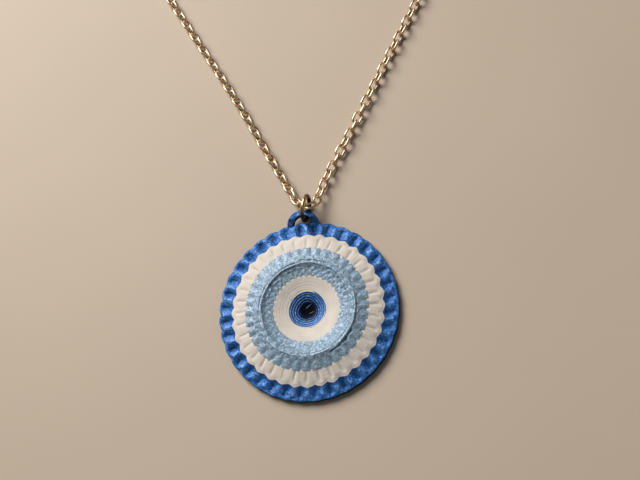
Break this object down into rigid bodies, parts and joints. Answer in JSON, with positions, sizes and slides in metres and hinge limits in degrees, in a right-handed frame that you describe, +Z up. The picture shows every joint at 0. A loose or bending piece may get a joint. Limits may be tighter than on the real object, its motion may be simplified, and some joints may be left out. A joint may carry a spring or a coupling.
{
  "type": "circle pendant necklace",
  "caption": "Pendant necklace: a round printed drop of concentric relief rings with an eyelet, hung by a jump ring on a fine link chain laid out as a loop and closed by a ring clasp.",
  "frame": {"origin": "centre of the disc's flat back, on the surface it lies on", "axes": "+Y from the disc's centre to its eyelet and on along the necklace, +Z up from the surface through the disc's face, +X to the right seen from above"},
  "size_m": [0.1173, 0.2239, 0.0064],
  "materials": {
    "printed_disc": "silky printed layers: blue rim, white band, light blue ridge, white and blue hollow, black pit",
    "dark_gold": "polished dark gold",
    "pale_gold": "polished pale gold"
  },
  "bodies": {
    "root": {"pendant": "printed_disc", "jump_ring": "dark_gold", "chain": "pale_gold", "clasp": "pale_gold", "end_ring": "pale_gold"}
  },
  "joints": []
}
